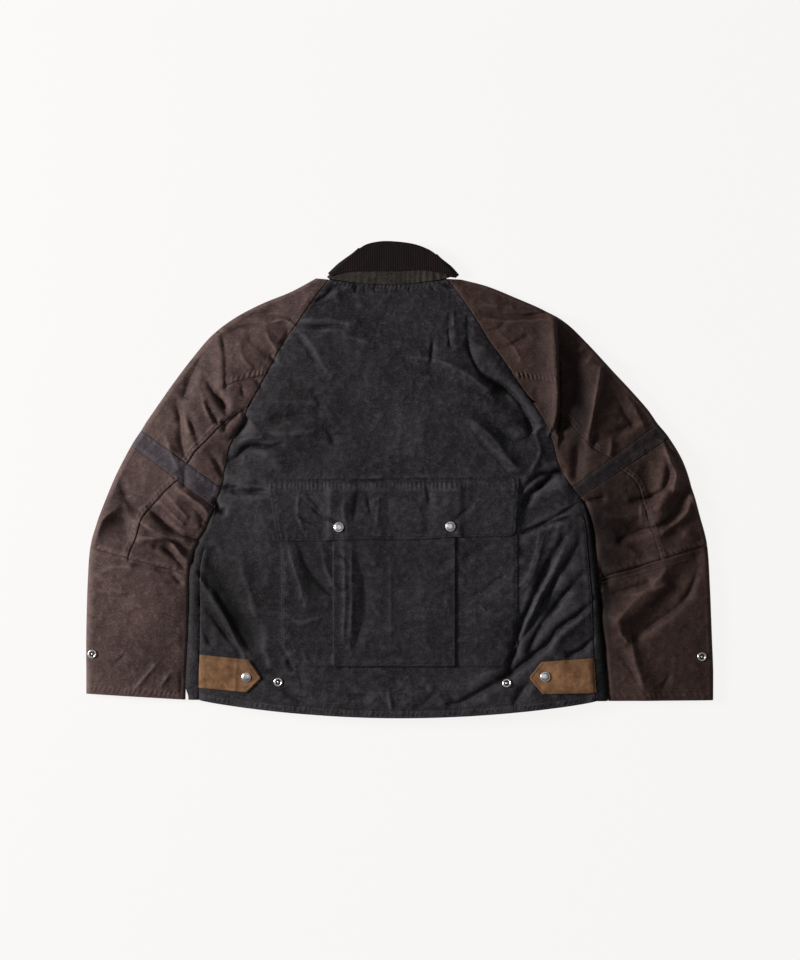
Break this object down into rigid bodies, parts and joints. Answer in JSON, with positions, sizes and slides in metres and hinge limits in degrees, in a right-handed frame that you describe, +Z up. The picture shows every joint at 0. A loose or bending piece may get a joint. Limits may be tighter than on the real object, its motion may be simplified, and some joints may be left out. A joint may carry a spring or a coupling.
{
  "type": "waxed cotton jacket with raglan sleeves, laid flat face down",
  "caption": "Waxed cotton jacket with raglan sleeves, corduroy collar, back flap pocket and hem tabs, laid face down.",
  "frame": {"origin": "the middle of the laid jacket's outline, on the surface that it lies on", "axes": "+X to the right of the back as seen from above, +Y to the collar, +Z up out of the back"},
  "size_m": [0.9412, 0.7135, 0.0362],
  "materials": {
    "body_cloth": "waxed, dull sheen",
    "sleeve_cloth": "waxed, dull sheen",
    "band_cloth": "waxed, dull sheen",
    "stand_cloth": "waxed, dull",
    "corduroy": "fine corduroy",
    "canvas": "waxed canvas",
    "snap_metal": "satin"
  },
  "bodies": {
    "root": {"back_panel": "body_cloth", "front_left": "body_cloth", "front_right": "body_cloth", "back_pocket": "body_cloth", "pocket_flap": "body_cloth", "collar_stand": "stand_cloth", "collar_fall": "corduroy", "sleeve_top_left": "sleeve_cloth", "sleeve_wedge_left": "sleeve_cloth", "sleeve_band_left": "band_cloth", "sleeve_elbow_left": "sleeve_cloth", "sleeve_under_left": "sleeve_cloth", "sleeve_forearm_left": "sleeve_cloth", "sleeve_top_right": "sleeve_cloth", "sleeve_wedge_right": "sleeve_cloth", "sleeve_band_right": "band_cloth", "sleeve_elbow_right": "sleeve_cloth", "sleeve_under_right": "sleeve_cloth", "sleeve_forearm_right": "sleeve_cloth", "tab_left": "canvas", "tab_right": "canvas", "snap_flap_left": "snap_metal", "snap_flap_right": "snap_metal", "snap_tab_left": "snap_metal", "snap_tab_right": "snap_metal", "ring_stud_hem_left": "snap_metal", "ring_stud_hem_right": "snap_metal", "ring_stud_cuff_left": "snap_metal", "ring_stud_cuff_right": "snap_metal"}
  },
  "joints": []
}
